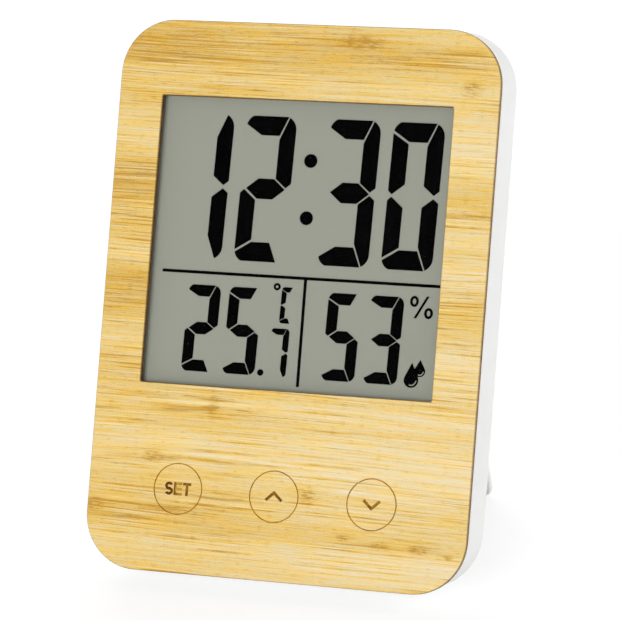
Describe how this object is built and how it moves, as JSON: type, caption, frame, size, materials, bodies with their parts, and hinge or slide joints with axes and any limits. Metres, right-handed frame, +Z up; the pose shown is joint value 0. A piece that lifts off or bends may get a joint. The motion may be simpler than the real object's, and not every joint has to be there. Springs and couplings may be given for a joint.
{
  "type": "thermometer hygrometer clock",
  "caption": "Free-standing digital desk clock with a bamboo face, a segment display for time, temperature and humidity, engraved touch keys, a white case and a fold-out leg.",
  "frame": {"origin": "on the table, under the middle of the clock's bounding box", "axes": "+X to the right as the face is read, +Y towards the back, +Z up from the table; the face leans back and looks towards -Y"},
  "size_m": [0.09, 0.0656, 0.1181],
  "materials": {
    "bamboo": "sanded and lightly oiled, grain across the face",
    "white_case": "fine moulded texture",
    "grey_frame": "plain moulded",
    "adhesive": "thin double-sided sheet",
    "gasket_foam": "closed-cell foam",
    "display_glass": "flat polished",
    "display_seal": "printed seal",
    "display_reflector": "matt grey-green reflecting film",
    "display_marks": "dark switched-on segments",
    "ribbon_film": "amber film",
    "board": "lacquered laminate",
    "chip_resin": "poured resin",
    "bright_metal": "drawn can",
    "sensor_body": "moulded",
    "capacitor_body": "fired chip",
    "copper_foil": "bare foil",
    "pillar_rubber": "conductive rubber",
    "screw_steel": "zinc plated",
    "contact_metal": "nickel plated spring sheet",
    "red_wire": "insulation",
    "black_wire": "insulation",
    "cell_wrap": "plain unmarked wrap"
  },
  "bodies": {
    "case": {"bamboo_front_panel": "bamboo", "panel_adhesive": "adhesive", "window_gasket": "gasket_foam", "front_frame": "grey_frame", "lcd_front_glass": "display_glass", "lcd_edge_seal": "display_seal", "lcd_rear_glass": "display_glass", "lcd_reflector": "display_reflector", "lcd_time_digits": "display_marks", "lcd_temperature_digits": "display_marks", "lcd_humidity_digits": "display_marks", "lcd_divider_lines": "display_marks", "display_retainer": "grey_frame", "retainer_screws": "screw_steel", "display_ribbon": "ribbon_film", "main_board": "board", "controller_chip": "chip_resin", "quartz_crystal": "bright_metal", "climate_sensor": "sensor_body", "board_capacitors": "capacitor_body", "board_screws": "screw_steel", "touch_pads": "copper_foil", "touch_pillars": "pillar_rubber", "rear_housing": "white_case", "case_screws": "screw_steel", "battery_cells": "cell_wrap", "positive_contact": "contact_metal", "negative_contact": "contact_metal", "linking_contact": "contact_metal", "positive_wire": "red_wire", "negative_wire": "black_wire"},
    "leg": {"stand_leg": "white_case"},
    "door": {"battery_door": "white_case"}
  },
  "joints": [
    {"name": "leg_fold", "type": "hinge", "parent": "case", "child": "leg", "pos_m": [0, 0.01065, 0.06673], "axis": [-1, 0, 0], "range_deg": [0, 41]},
    {"name": "battery_door_lift", "type": "slide", "parent": "case", "child": "door", "axis": [0, 0.9128, -0.4085], "range_m": [0, 0.03]}
  ]
}
